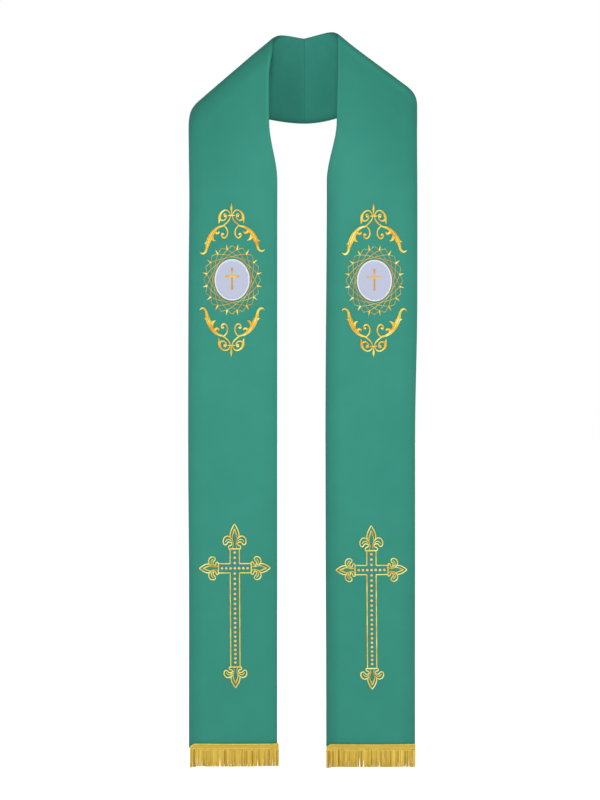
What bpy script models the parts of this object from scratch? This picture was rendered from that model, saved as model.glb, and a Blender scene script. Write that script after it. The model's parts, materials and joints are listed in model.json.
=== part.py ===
"""A clerical stole held open in the shape it is worn in, with no wearer: two long panels hang over
sloping shoulders and meet in a seam behind the neck. Metres, +Z up, the fronts face -Y, and the
origin is between the two shoulders, at the neck."""

import collections
import math
import random

import bmesh
import bpy
from mathutils import Vector

# Cloth
FACE_WALL = 0.0016
LINING_WALL = 0.0010
SEAM_GAP = 0.0003
LINING_INSET = 0.0020
STRIP_WIDTH = 0.150

# The roll over each shoulder, and how the cloth leaves it in front and behind
ROLL_RADIUS = 0.022
FRONT_SLANT = math.radians(28.0)
BACK_SLANT = math.radians(17.0)
SLANT_FADE = 0.250

# Soft shape of the hanging fronts
BOW_DEPTH = 0.004
BOW_FADE = 0.150
WAVE_DEPTH = 0.0020
WAVE_LENGTH = 0.620

# Behind the neck
FOLD_PULL = 0.30
CREASE_REACH = 0.018
HEM_ROUND_REACH = 0.075

# Heights
HEM_Z = -1.2075
CHEST_Z = -0.300
LINING_HEM_RISE = 0.05

# Rows of the cloth from hem to seam, and columns from neck edge to outer edge
FRONT_ROWS = 15
SHOULDER_ROWS = 8
FOLD_ROWS = 8
BACK_ROWS = 10
ALL_ROWS = FRONT_ROWS + SHOULDER_ROWS + FOLD_ROWS + BACK_ROWS
COLUMNS = 8

# Fringe
FRINGE_TOP_Z = -1.1995
FRINGE_HEADER = 0.0118
FRINGE_DROP = 0.0270
FRINGE_THICKNESS = 0.0022
LOCKS = 60
LOCK_SHARE = 0.74
LOCK_SEED = 11

# Embroidered medallion and cross
MEDALLION_Z = -0.4178
MEDALLION_HALF_WIDTH = 0.0299
MEDALLION_HALF_HEIGHT = 0.0352
MEDALLION_RIM = 0.0005
MEDALLION_RISE = 0.0013
CORD_RADIUS = 0.0009
BAR_HALF_WIDTH = 0.0090
CROSS_ARMS = {"up": (0.0319, 0.0430), "side": (0.0270, 0.0330), "down": (0.1654, 0.0357)}
FLEUR_LENGTH = 0.0430
PETAL_STEPS = 2

EdgeRow = collections.namedtuple("EdgeRow", "z x")
Side = collections.namedtuple(
    "Side",
    "name sign ridge_x ridge_z slope neck_turn outer_turn scoop neck outer fringe medallion_x cross_x cross_z wave",
)
OutlinePoint = collections.namedtuple("OutlinePoint", "along across")

# x is measured outward from the middle on both sides; the ridge is the top line of a shoulder
SIDES = (
    Side(
        name="left",
        sign=-1,
        ridge_x=0.0574,
        ridge_z=0.0000,
        slope=math.radians(40.5),
        neck_turn=0.80,
        outer_turn=0.80,
        scoop=0.004,
        neck=(
            EdgeRow(-0.251, 0.0422),
            EdgeRow(-0.1455, 0.0565),
            EdgeRow(-0.065, 0.0570),
            EdgeRow(-0.010, 0.0518),
        ),
        outer=(
            EdgeRow(-0.950, 0.1922),
            EdgeRow(-0.710, 0.1935),
            EdgeRow(-0.300, 0.1928),
            EdgeRow(-0.100, 0.1953),
        ),
        fringe=(0.0400, 0.1898),
        medallion_x=0.1186,
        cross_x=0.1142,
        cross_z=-0.9044,
        wave=0.4,
    ),
    Side(
        name="right",
        sign=1,
        ridge_x=0.0605,
        ridge_z=0.0107,
        slope=math.radians(36.8),
        neck_turn=0.80,
        outer_turn=0.55,
        scoop=0.008,
        neck=(
            EdgeRow(-1.180, 0.0396),
            EdgeRow(-0.690, 0.0383),
            EdgeRow(-0.251, 0.0407),
            EdgeRow(-0.1455, 0.0580),
            EdgeRow(-0.030, 0.0607),
        ),
        outer=(
            EdgeRow(-0.690, 0.1905),
            EdgeRow(-0.450, 0.1930),
            EdgeRow(-0.200, 0.1940),
            EdgeRow(-0.100, 0.1974),
        ),
        fringe=(0.0400, 0.1908),
        medallion_x=0.1197,
        cross_x=0.1164,
        cross_z=-0.9073,
        wave=2.1,
    ),
)

# Half of a fleur-de-lis, from its collar to its tip, for a fleur FLEUR_LENGTH long
COLLAR = (OutlinePoint(0.0, 0.0114), OutlinePoint(0.0059, 0.0114), OutlinePoint(0.0075, 0.0052))
SIDE_PETAL = (
    OutlinePoint(0.0115, 0.0056),
    OutlinePoint(0.0128, 0.0099),
    OutlinePoint(0.0086, 0.0142),
    OutlinePoint(0.0092, 0.0180),
    OutlinePoint(0.0150, 0.0197),
    OutlinePoint(0.0210, 0.0172),
    OutlinePoint(0.0238, 0.0117),
    OutlinePoint(0.0222, 0.0074),
)
MIDDLE_PETAL = (OutlinePoint(0.0300, 0.0065), OutlinePoint(0.0375, 0.0037), OutlinePoint(0.0430, 0.0))


def eased(t):
    t = min(max(t, 0.0), 1.0)
    return t * t * (3.0 - 2.0 * t)


def between(a, b, t):
    return a + (b - a) * t


def edge_x(rows, z):
    """How far out an edge is at a height, eased from one row of its table to the next."""
    if z <= rows[0].z:
        return rows[0].x
    for low, high in zip(rows, rows[1:]):
        if z <= high.z:
            return between(low.x, high.x, eased((z - low.z) / (high.z - low.z)))
    return rows[-1].x


def strip_x(side, z, across):
    return between(edge_x(side.neck, z), edge_x(side.outer, z), across)


def roll_axis(side):
    """The middle of the roll, below the ridge line and square to it."""
    return (
        side.ridge_x - ROLL_RADIUS * math.sin(side.slope),
        side.ridge_z - ROLL_RADIUS * math.cos(side.slope),
    )


def to_ridge(side, x, z):
    """(run down the ridge, rise square to it) of a point seen from the front."""
    axis_x, axis_z = roll_axis(side)
    dx, dz = x - axis_x, z - axis_z
    run = dx * math.cos(side.slope) - dz * math.sin(side.slope)
    rise = dx * math.sin(side.slope) + dz * math.cos(side.slope)
    return run, rise


def from_ridge(side, run, rise, y):
    axis_x, axis_z = roll_axis(side)
    x = axis_x + run * math.cos(side.slope) + rise * math.sin(side.slope)
    z = axis_z - run * math.sin(side.slope) + rise * math.cos(side.slope)
    return Vector((x, y, z))


def front_top(side, across):
    """Where a column of the front reaches the roll: its height and its run along the ridge."""
    axis_x, axis_z = roll_axis(side)
    rise = ROLL_RADIUS * math.sin(FRONT_SLANT)
    z = side.ridge_z
    for _ in range(12):
        x = strip_x(side, z, across)
        z = axis_z + (rise - (x - axis_x) * math.sin(side.slope)) / math.cos(side.slope)
    return z, to_ridge(side, strip_x(side, z, across), z)[0]


def front_point(side, x, z):
    """A point of the face cloth in front: it leaves the roll at a slant and comes round to plumb."""
    neck, outer = edge_x(side.neck, z), edge_x(side.outer, z)
    across = (x - neck) / (outer - neck)
    drop = max(ROLL_RADIUS * math.sin(FRONT_SLANT) - to_ridge(side, x, z)[1], 0.0)
    slanting = min(drop, SLANT_FADE)
    lean = math.tan(FRONT_SLANT) * (slanting - slanting**2 / (2.0 * SLANT_FADE))
    hang = eased(drop / BOW_FADE)
    bow = BOW_DEPTH * hang * (1.0 - (2.0 * across - 1.0) ** 2)
    wave = WAVE_DEPTH * hang * math.sin(2.0 * math.pi * z / WAVE_LENGTH + side.wave + across)
    return Vector((x, -(ROLL_RADIUS * math.cos(FRONT_SLANT) + lean + bow + wave), z))


def turn_rate(side, across):
    """How far the strip slides up the ridge for each metre that it crosses it."""
    return between(side.neck_turn, side.outer_turn, across)


def plain_fold_point(side, across, turn):
    """A point of the roll, from turn 0 in front to turn 1 behind."""
    arc = turn * (math.pi - FRONT_SLANT - BACK_SLANT)
    angle = FRONT_SLANT + arc
    scoop = (1.0 - across) * side.scoop * eased(2.0 * turn)
    run = front_top(side, across)[1] + scoop - turn_rate(side, across) * ROLL_RADIUS * arc
    return from_ridge(side, run, ROLL_RADIUS * math.sin(angle), -ROLL_RADIUS * math.cos(angle))


def plain_back_point(side, across, share):
    """A point behind, on the strip that runs from the roll to the middle, its crease and hem eased."""
    start = plain_fold_point(side, across, 1.0)
    rate = turn_rate(side, across)
    inward = rate * math.cos(side.slope) + math.cos(BACK_SLANT) * math.sin(side.slope)
    downward = math.cos(BACK_SLANT) * math.cos(side.slope) - rate * math.sin(side.slope)
    length = share * (start.x - SEAM_GAP / 2.0) / inward
    run, rise = to_ridge(side, start.x, start.z)
    point = from_ridge(
        side,
        run - rate * length,
        rise - length * math.cos(BACK_SLANT),
        start.y + length * math.sin(BACK_SLANT),
    )
    crease = max(CREASE_REACH - point.x, 0.0) ** 2 / (2.0 * CREASE_REACH)
    point.y -= crease * math.tan(BACK_SLANT) * math.sin(side.slope)
    rounding = max(HEM_ROUND_REACH - point.x, 0.0) ** 2 / (2.0 * HEM_ROUND_REACH)
    raised = across**2 * rounding * downward / inward
    point.z += raised
    point.y -= raised * math.tan(BACK_SLANT) * math.cos(side.slope)
    return point


def pulled(point, side, across, pull):
    """The point drawn towards the seam line that both halves share."""
    left_end, right_end = (plain_back_point(each, across, 1.0) for each in SIDES)
    own_end = plain_back_point(side, across, 1.0)
    shift = (left_end + right_end) / 2.0 - own_end
    return point + eased(pull) * Vector((0.0, shift.y, shift.z))


def fold_point(side, across, turn):
    return pulled(plain_fold_point(side, across, turn), side, across, FOLD_PULL * turn)


def back_point(side, across, share):
    return pulled(plain_back_point(side, across, share), side, across, between(FOLD_PULL, 1.0, share))


def cloth_point(side, row, across):
    """The face cloth's outer surface: row 0 is the hem, ALL_ROWS the seam; across 0 is the neck edge."""
    if row <= FRONT_ROWS:
        z = between(HEM_Z, CHEST_Z, row / FRONT_ROWS)
        return front_point(side, strip_x(side, z, across), z)
    row -= FRONT_ROWS
    if row <= SHOULDER_ROWS:
        z = between(CHEST_Z, front_top(side, across)[0], row / SHOULDER_ROWS)
        return front_point(side, strip_x(side, z, across), z)
    row -= SHOULDER_ROWS
    if row <= FOLD_ROWS:
        return fold_point(side, across, row / FOLD_ROWS)
    return back_point(side, across, (row - FOLD_ROWS) / BACK_ROWS)


def cloth_outward(side, row, across):
    """The direction away from the wearer at a point of the cloth."""
    step = 0.02
    low_row, high_row = max(row - step, 0.0), min(row + step, ALL_ROWS)
    low_across, high_across = max(across - step, 0.0), min(across + step, 1.0)
    up = cloth_point(side, high_row, across) - cloth_point(side, low_row, across)
    out = cloth_point(side, row, high_across) - cloth_point(side, row, low_across)
    return out.cross(up).normalized()


def front_moved_out(side, x, z, distance):
    """A point over the front panel, a distance off its outer face, on its own side of the middle."""
    step = 0.002
    here = front_point(side, x, z)
    up = front_point(side, x, z + step) - here
    out = front_point(side, x + step, z) - here
    moved = here + distance * out.cross(up).normalized()
    return Vector((side.sign * moved.x, moved.y, moved.z))


def material(name, colour, roughness, metallic=0.0):
    made = bpy.data.materials.new(name)
    made.use_nodes = True
    shader = made.node_tree.nodes["Principled BSDF"]
    shader.inputs["Base Color"].default_value = (*colour, 1.0)
    shader.inputs["Roughness"].default_value = roughness
    shader.inputs["Metallic"].default_value = metallic
    return made


def add_object(name, bm, finish, collection, smooth=True):
    mesh = bpy.data.meshes.new(name)
    bm.to_mesh(mesh)
    bm.free()
    if smooth:
        mesh.shade_smooth()
    mesh.materials.append(finish)
    made = bpy.data.objects.new(name, mesh)
    collection.objects.link(made)
    return made


def turn_faces_out(bm):
    bmesh.ops.recalc_face_normals(bm, faces=bm.faces)
    if bm.calc_volume(signed=True) < 0.0:
        bmesh.ops.reverse_faces(bm, faces=bm.faces)


def add_wall(piece, thickness):
    wall = piece.modifiers.new("wall", "SOLIDIFY")
    wall.thickness = thickness
    wall.offset = -1.0


def make_sheet(name, side, finish, collection, wall, depth, inset, first_row):
    """One half's sheet of cloth: a grid laid along the strip, a depth inside the face, then given its wall."""
    bm = bmesh.new()
    bmesh.ops.create_grid(bm, x_segments=COLUMNS, y_segments=ALL_ROWS, size=0.5)
    for vert in bm.verts:
        across = between(inset, 1.0 - inset, vert.co.x + 0.5)
        row = max(round((vert.co.y + 0.5) * ALL_ROWS), first_row)
        point = cloth_point(side, row, across) - depth * cloth_outward(side, row, across)
        vert.co = (side.sign * point.x, point.y, point.z)
    if side.sign < 0:
        bmesh.ops.reverse_faces(bm, faces=bm.faces)
    sheet = add_object(name, bm, finish, collection)
    add_wall(sheet, wall)
    return sheet


def make_medallion(side, finish, collection):
    """A low oval dome over the panel; its underside follows the cloth."""
    bm = bmesh.new()
    bmesh.ops.create_uvsphere(bm, u_segments=28, v_segments=8, radius=1.0)
    for vert in bm.verts:
        height = vert.co.z
        if height > 0.01:
            rise = MEDALLION_RIM + (MEDALLION_RISE - MEDALLION_RIM) * height
        elif height > -0.01:
            rise = MEDALLION_RIM
        else:
            rise = 0.0
        x = side.medallion_x + vert.co.x * MEDALLION_HALF_WIDTH
        z = MEDALLION_Z + vert.co.y * MEDALLION_HALF_HEIGHT
        vert.co = front_moved_out(side, x, z, SEAM_GAP + rise)
    turn_faces_out(bm)
    return add_object("medallion_" + side.name, bm, finish, collection)


def smooth_through(points, steps):
    """Points on a smooth curve through the given ones."""
    ends = [points[0], *points, points[-1]]
    curve = []
    for a, b, c, d in zip(ends, ends[1:], ends[2:], ends[3:]):
        for step in range(steps):
            t = step / steps
            weights = (
                (-t + 2.0 * t**2 - t**3) / 2.0,
                (2.0 - 5.0 * t**2 + 3.0 * t**3) / 2.0,
                (t + 4.0 * t**2 - 3.0 * t**3) / 2.0,
                (-(t**2) + t**3) / 2.0,
            )
            along = sum(w * p.along for w, p in zip(weights, (a, b, c, d)))
            across = sum(w * p.across for w, p in zip(weights, (a, b, c, d)))
            curve.append(OutlinePoint(along, across))
    return curve + [points[-1]]


def half_arm(bar, fleur):
    """Half the outline of one arm of the cross, from its inner corner to its tip."""
    stretch = fleur / FLEUR_LENGTH
    petals = smooth_through(SIDE_PETAL, PETAL_STEPS) + list(MIDDLE_PETAL)
    head = [OutlinePoint(bar + p.along * stretch, p.across) for p in (*COLLAR, *petals)]
    return [OutlinePoint(BAR_HALF_WIDTH, BAR_HALF_WIDTH), OutlinePoint(bar, BAR_HALF_WIDTH), *head]


def cross_outline():
    """The outline of the whole cross as (x, z), once round, from arm to arm."""
    outline = []
    turns = (("up", 90.0), ("side", 180.0), ("down", 270.0), ("side", 360.0))
    for arm, degrees in turns:
        half = half_arm(*CROSS_ARMS[arm])
        whole = [OutlinePoint(p.along, -p.across) for p in half] + half[-2:0:-1]
        c, s = math.cos(math.radians(degrees)), math.sin(math.radians(degrees))
        outline += [(c * p.along - s * p.across, s * p.along + c * p.across) for p in whole]
    return outline


def make_cross(side, finish, collection):
    """A gold cord laid along the outline of a cross on the panel."""
    curve = bpy.data.curves.new("cross_" + side.name, "CURVE")
    curve.dimensions = "3D"
    curve.bevel_depth = CORD_RADIUS
    curve.bevel_resolution = 0
    outline = cross_outline()
    spline = curve.splines.new("POLY")
    spline.points.add(len(outline) - 1)
    for point, (x, z) in zip(spline.points, outline):
        place = front_moved_out(side, side.cross_x + x, side.cross_z + z, SEAM_GAP + CORD_RADIUS)
        point.co = (*place, 1.0)
    spline.use_cyclic_u = True
    curve.materials.append(finish)
    made = bpy.data.objects.new("cross_" + side.name, curve)
    collection.objects.link(made)
    return made


def make_fringe(side, finish, collection):
    """A braided heading laid over the hem, with locks of thread hanging from its underside."""
    draw = random.Random(LOCK_SEED + side.sign)
    neck_x, outer_x = side.fringe
    cells = 2 * LOCKS - 1
    pitch = (outer_x - neck_x) / (LOCKS - 1 + LOCK_SHARE)
    bm = bmesh.new()
    bmesh.ops.create_cube(bm, size=1.0)
    long_edges = [e for e in bm.edges if abs(e.verts[0].co.x - e.verts[1].co.x) > 0.5]
    bmesh.ops.subdivide_edges(bm, edges=long_edges, cuts=cells - 1, use_grid_fill=True)
    for vert in bm.verts:
        cell = round((vert.co.x + 0.5) * cells)
        vert.co.x = neck_x + pitch * (cell // 2 + LOCK_SHARE * (cell % 2))
        vert.co.y = SEAM_GAP + FRINGE_THICKNESS * (0.5 - vert.co.y)
        vert.co.z = FRINGE_TOP_Z + FRINGE_HEADER * (vert.co.z - 0.5)
    under = [f for f in bm.faces if f.normal.z < -0.5]
    under.sort(key=lambda f: f.calc_center_median().x)
    for root in under[::2]:
        sway = draw.uniform(-1.0, 1.0) * 0.10 * pitch
        length = FRINGE_DROP * draw.uniform(0.93, 1.0)
        for share, slimmer in ((0.55, 0.96), (0.45, 0.62)):
            root = bmesh.ops.extrude_discrete_faces(bm, faces=[root])["faces"][0]
            centre = root.calc_center_median()
            for vert in root.verts:
                vert.co = centre + slimmer * (vert.co - centre)
                vert.co.x += sway
                vert.co.z = centre.z - share * length
    for vert in bm.verts:
        vert.co = front_moved_out(side, vert.co.x, vert.co.z, vert.co.y)
    turn_faces_out(bm)
    return add_object("fringe_" + side.name, bm, finish, collection, smooth=False)


def clear_scene():
    for old in list(bpy.data.objects):
        bpy.data.objects.remove(old, do_unlink=True)


def main():
    clear_scene()
    collection = bpy.data.collections.new("clerical_stole")
    bpy.context.scene.collection.children.link(collection)
    green = material("green_satin", (0.045, 0.290, 0.200), 0.55)
    lining = material("green_lining", (0.030, 0.220, 0.155), 0.60)
    white = material("white_satin", (0.700, 0.670, 0.830), 0.45)
    gold = material("gold_thread", (0.790, 0.455, 0.030), 0.40)
    fringe_gold = material("gold_fringe_thread", (0.610, 0.385, 0.050), 0.50)
    inset = LINING_INSET / STRIP_WIDTH
    lining_depth = FACE_WALL + SEAM_GAP
    for side in SIDES:
        make_sheet("panel_" + side.name, side, green, collection, FACE_WALL, 0.0, 0.0, 0.0)
        make_sheet(
            "lining_" + side.name, side, lining, collection, LINING_WALL, lining_depth, inset, LINING_HEM_RISE
        )
        make_fringe(side, fringe_gold, collection)
        make_medallion(side, white, collection)
        make_cross(side, gold, collection)


main()
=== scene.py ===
"""The looks of a clerical stole: cloth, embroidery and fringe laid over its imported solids. Metres, +Z up,
the fronts face -Y, and the origin is between the two shoulders, at the neck."""

import collections
import functools
import json
import math
import random

import bpy
import numpy as np
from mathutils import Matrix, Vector, noise

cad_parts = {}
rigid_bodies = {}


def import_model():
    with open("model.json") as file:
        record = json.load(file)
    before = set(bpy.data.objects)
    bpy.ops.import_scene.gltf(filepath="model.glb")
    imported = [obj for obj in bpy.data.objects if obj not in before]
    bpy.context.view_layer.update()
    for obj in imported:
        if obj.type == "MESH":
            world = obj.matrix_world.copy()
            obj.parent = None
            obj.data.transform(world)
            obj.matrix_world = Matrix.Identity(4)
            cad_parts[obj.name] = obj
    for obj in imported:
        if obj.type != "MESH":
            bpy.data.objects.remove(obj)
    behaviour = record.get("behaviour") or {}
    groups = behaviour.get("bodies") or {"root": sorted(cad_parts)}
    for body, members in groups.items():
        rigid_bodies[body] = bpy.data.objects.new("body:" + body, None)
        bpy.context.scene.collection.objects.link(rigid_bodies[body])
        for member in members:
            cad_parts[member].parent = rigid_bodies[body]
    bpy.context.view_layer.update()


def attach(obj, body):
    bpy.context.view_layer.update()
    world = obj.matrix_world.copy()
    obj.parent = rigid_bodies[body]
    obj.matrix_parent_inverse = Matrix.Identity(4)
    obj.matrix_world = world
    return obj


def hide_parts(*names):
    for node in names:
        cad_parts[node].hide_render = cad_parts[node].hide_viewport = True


# Cloth
FACE_WALL = 0.0016
LINING_WALL = 0.0010
LINING_GAP = 0.0003
SEAM_OVERLAP = 0.0001
LINING_INSET = 0.0020
STRIP_WIDTH = 0.150

# The roll over each shoulder, and how the cloth leaves it in front and behind
ROLL_RADIUS = 0.022
FRONT_SLANT = math.radians(28.0)
BACK_SLANT = math.radians(17.0)
SLANT_FADE = 0.250
TOP_TRIES = 12

# Soft shape of the hanging fronts
BOW_DEPTH = 0.004
BOW_FADE = 0.150
WAVE_DEPTH = 0.0020
WAVE_LENGTH = 0.620

# Behind the neck, where the seam lies a little to the viewer's right of the middle
SEAM_X = 0.0036
FOLD_PULL = 0.30
CREASE_REACH = 0.018
HEM_ROUND_REACH = 0.075

# The outer end of each shoulder rounds off, and the long edges of the fronts curl back a little
CORNER_REACH = 0.017
CORNER_DROP = 0.015
CORNER_FADE = 0.090
RIDGE_SINK_REACH = 0.034
BACK_HEM_LIFT = 0.0026
LEAN_REACH_BEHIND = 0.060
CURL_REACH = 0.0075
CURL_DEPTH = 0.0019

# Heights, and the rows of the cloth from hem to seam
HEM_Z = -1.2075
CHEST_Z = -0.300
FRONT_ROWS = 15
SHOULDER_ROWS = 8
FOLD_ROWS = 8
BACK_ROWS = 10
LINING_HEM_RISE = 0.05

# How finely the cloth is laid out here: steps in each stretch of rows, and distances in from an edge
FACE_STEPS = (300, 90, 26, 60)
LINING_STEPS = (150, 50, 24, 60)
FACE_RIM = (
    0.0, 0.0001, 0.0003, 0.0005, 0.0008, 0.0014, 0.0022,
    0.0032, 0.0045, 0.0055, 0.0062, 0.0069, 0.0080, 0.0100,
)
LINING_RIM = (0.0, 0.00012, 0.0003, 0.0005, 0.0015, 0.0035)
HEM_DISTANCES = (0.0, 0.00008, 0.00025, 0.0005, 0.0008, 0.0014, 0.0030, 0.0060)
SEAM_DISTANCES = (
    0.0, 0.00015, 0.0004, 0.0007, 0.0010, 0.0015,
    0.0022, 0.0030, 0.0040, 0.0045, 0.0050, 0.0060,
)
HEM_CLEAR = 0.01
SEAM_CLEAR = 0.05
BACK_LENGTH = 0.100
FACE_COLUMN = 0.0042
LINING_COLUMN = 0.0050

# Fine relief of the cloth
RIPPLE_HEIGHT = 0.00045
RIPPLE_WIDTH = 0.045
RIPPLE_LENGTH = 0.150
CRUMPLE_HEIGHT = 0.00010
CRUMPLE_SIZE = 0.018
LINING_RIPPLE = 0.0010
LINING_RIPPLE_SIZE = 0.020
# Painted shade on the cloth's colour: darker at edges and rims that turn away, in a contact shadow at the
# top of the neck edges, along the pressed lines, toward the bottom, at the lining's hem behind the neck and
# on the lining's left half there
EDGE_SHADE_REACH = 0.025
RIM_SHADE_REACH = 0.0012
CONTACT_SHADE = 0.32
LOW_SHADE = 0.07
LOW_SHADE_TOP = -0.55
NECK_SHADE_Z = -0.30
NECK_SHADE_FADE = 0.12
CONTACT_Z = -0.150
CONTACT_FADE = 0.02
BEHIND_FADE = 0.010
BACK_SHADE_FADE = 0.12
SEAM_SHADE = 0.4
SEAM_SHADE_REACH = 0.012
PRESS_LINE_SHADE = 0.07
PRESS_LINE_WIDTH = 0.0008
HEM_SHADE = 0.42
HEM_SHADE_REACH = 0.0040
# More relief: the centre-back seam, the lines above the hem and the turned-in seam allowances
SEAM_GROOVE = 0.0006
SEAM_GROOVE_WIDTH = 0.0008
SEAM_PRESSING = 0.00035
SEAM_PRESSING_WIDTH = 0.0044
SEAM_PRESSING_FADE = 0.0008
SEAM_LINE_LOSS = 0.9
SEAM_LINE_FADE = 0.085
HEM_LINES = (0.0120, 0.0160)
HEM_LINE_DEPTH = 0.00030
HEM_LINE_WIDTH = 0.0007
HEM_LINE_STEP = 0.00035
HEM_LINE_MARGIN = 0.0018
ALLOWANCE_RISE = 0.00022
ALLOWANCE_WIDTH = 0.0062
ALLOWANCE_FADE = 0.0020
CALM_EDGE = 0.0040

# Looks of the cloth and of the thread
CLOTH_SHINE = 0.25
CLOTH_SHINE_TINT = (0.30, 1.0, 0.85, 1.0)
CLOTH_BUMP = 0.5
DYE_SPREAD = (0.30, 0.70)
THREAD_SHINE = 0.4
PLY_BUMP = 0.35
PLY_HEIGHT = 0.00008
FACE_DYES = ((0.029, 0.205, 0.150), (0.033, 0.222, 0.164))
LINING_DYES = ((0.0242, 0.178, 0.135), (0.0288, 0.197, 0.150))
GOLD = ((0.56, 0.25, 0.020), (0.72, 0.42, 0.030), (0.80, 0.60, 0.070), (0.90, 0.80, 0.270))
FRINGE_GOLD = ((0.34, 0.195, 0.018), (0.68, 0.470, 0.056), (0.88, 0.700, 0.135))
SILVER_WHITE = ((0.390, 0.420, 0.535), (0.66, 0.66, 0.71))
CORAL = ((0.80, 0.33, 0.075), (0.88, 0.44, 0.125), (0.92, 0.55, 0.200))

# Satin stitch
STITCH_PITCH = 0.0009
STITCH_STEP = 0.0003
STITCH_RIDGE = 0.10
STITCH_UNEVEN = 0.05
STITCH_SINK = 0.0003
STITCH_ACROSS = ((-1.0, 0.0), (-0.72, 0.72), (0.0, 1.0), (0.72, 0.72), (1.0, 0.0))
STITCH_UNDER = 0.9
STITCH_MAP_STEP = 0.001
# Painted sheen on satin stitch by the way its stitches run, then random patches and unevenness of tone
PAINTED_SHEEN = 0.22
PAINTED_SHEEN_TURN = 0.6
TONE_PATCH = 0.45
TONE_PATCH_SIZE = 0.013
TONE_UNEVEN = 0.06
CURVE_STEPS = 24
PLACE_STEP = 0.001

# The seed of each piece's draws, and the tone of each kind of stroke
SEEDS = {
    "scrolls": 101, "thorns": 202, "disc": 303, "small cross": 404,
    "large cross": 505, "dots": 606, "fringe": 23,
}
TONES = {
    "scroll": 0.55, "vein": -0.05, "eye": 0.75, "vine": 0.18, "thorn": 0.72, "small cross": 0.15,
    "collar": 0.72, "bar": 0.66, "fleur": 0.74, "inner spear": 0.38, "backing": 0.25,
}

# Medallion, from the middle of its disc
DISC_HALF_WIDTH = 0.0299
DISC_HALF_HEIGHT = 0.0352
DISC_RISE = 0.0012
DISC_RIM_HALF_WIDTH = 0.0015
DISC_RIM_RISE = 0.0016
DISC_RINGS = 14
DISC_SPOKES = 96
DISC_FALL = 0.45
DISC_EDGE_POWER = 12
SMALL_CROSS_Z = 0.0050
SMALL_CROSS_RISE = 0.0010
SMALL_CROSS_LIFT = DISC_RISE * 0.8
SCROLL_SHIFT_X = -0.0015
SCROLL_WEIGHT = 0.84
LEAF_WEIGHT = 0.98
SCROLL_RISE = (0.0008, 0.0016)
WIDEST_LEAF = 0.0042
SPEAR_RISE = 0.0013
EYE_RISE = 0.0014
VEIN_RISE = 0.0004
VEIN_LIFT = 0.0015
ARM_END_START = 0.018
ARM_END_FADE = 0.032
RIGHT_REACH = 0.0030
RIGHT_RAISE = 0.0042
LOWER_DROP = 0.0033
LOWER_DROP_ENDS = 0.092
LOWER_DROP_FADE = 0.038
THORN_COUNT = 16
THORN_HALF_WIDTH = 0.0480
THORN_HALF_HEIGHT = 0.0577
VINE_STRIDE = 5
VINE_DIP = 0.34
VINE_STITCH = 0.00043
VINE_RISE = 0.00045
VINE_STEP = 0.0007
VINE_POINTS = 24
VINE_LAYER = 0.00012
THORN_RISE = 0.0013

# From the root of a thorn to its tip: the share of the ring's size, and half the thorn's width
THORN_SHAPE = ((0.885, 0.0006), (0.915, 0.0017), (0.965, 0.0012), (1.06, 0.0002))

# Large cross
BAR_HALF_WIDTH = 0.0078
CROSS_LEAN = 0.0070
CROSS_ARMS = {"up": (0.0319, 0.0430), "side": (0.0270, 0.0330), "down": (0.1654, 0.0357)}
FLEUR_LENGTH = 0.0430
CORD_HALF_WIDTH = 0.00095
CORD_WEIGHT = 0.95
CORD_RISE = 0.0010
FLEUR_RISE = CORD_RISE * 0.9
COLLAR_OUT = 0.0008
COLLAR_HALF_LENGTH = 0.0098
COLLAR_HALF_WIDTH = 0.0011
DOT_RADIUS = 0.0022
DOT_RISE = 0.0012
DOT_END = 0.995
DOTS_ABOVE = 3
DOTS_BELOW = 20
DOTS_BESIDE = 3
DOT_PITCH = 0.0089
DOT_CLOSING = 0.0000483
DOT_PITCH_BESIDE = 0.0072

# Fringe
FRINGE_HEADER = 0.0118
FRINGE_DROP = 0.0277
LOCKS = 62
THREADS_IN_LOCK = 9
THREAD_RADIUS = 0.00034
THREAD_END_SHADE = 0.16
FRINGE_PARTINGS = {
    "left": (0.34, 0.415, 0.64, 0.757, 0.83, 0.874),
    "right": (0.365, 0.42, 0.60, 0.885, 0.92),
}
PARTING_WIDTH = 0.0024
PARTING_PUSH = 0.0017
THREAD_SEGMENTS = 10
THREAD_SIDES = 5
THREAD_MAP_STEP = 0.0004
BACKING_STEPS = 90
BACKING_BELOW = 0.0012
BACKING_DIP = 0.0050
BACKING_LIFTS = (0.0004, 0.0010)
BACKING_MAP = (0.0, 0.010, 0.011, 0.021)
CORD_STEP = 0.0005
CORD_SIDES = 6
CORD_MAP_STEP = 0.0006
CORD_LIFT = 0.0016
CORD_PATCH = 0.5
CORD_PATCH_SIZE = 0.007
TURNED_END_REACH = 0.009
TWIST_PLY = 0.58

# Studio
FLOOR_GLOW = 0.90
FLOOR_HALF = 40.0
FLOOR_Z = -1.42
FLOOR_WHITE = (0.80, 0.80, 0.80, 1.0)
WHITE = (1.0, 1.0, 1.0, 1.0)
WORLD_SHADES = ((1.0, 1.0, 1.0), (0.12, 0.12, 0.12))
WORLD_SPREAD = (0.20, 0.50)
LIGHT_TARGET = (0.0, 0.0, -0.5)
CAMERA_PLACE = (-0.0042, -4.105, -0.6206)
SENSOR_WIDTH = 36.0
LENS = 107.14

EdgeRow = collections.namedtuple("EdgeRow", "z x")
Side = collections.namedtuple(
    "Side",
    "name sign ridge_x ridge_z slope neck_turn outer_turn scoop neck outer ridge_sink "
    "lean_depth lean_reach edge_shades rim_shades neck_band back_shades fringe fringe_top "
    "medallion_x medallion_z cross_x cross_z wave",
)
Stitch = collections.namedtuple("Stitch", "x z half_width")
Place = collections.namedtuple("Place", "point right up out")
Build = collections.namedtuple("Build", "points faces map tones")
Cord = collections.namedtuple("Cord", "below drop pitch swing sway radius tone contrast patched")
Sheet = collections.namedtuple(
    "Sheet", "wall depth inset steps hem first_row rim column relief relief_inside shades"
)


def stroke(*rows):
    """Stitches from rows of x, z and half width, in tenths of a millimetre."""
    return tuple(Stitch(*(value / 10000.0 for value in row)) for row in rows)
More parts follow.
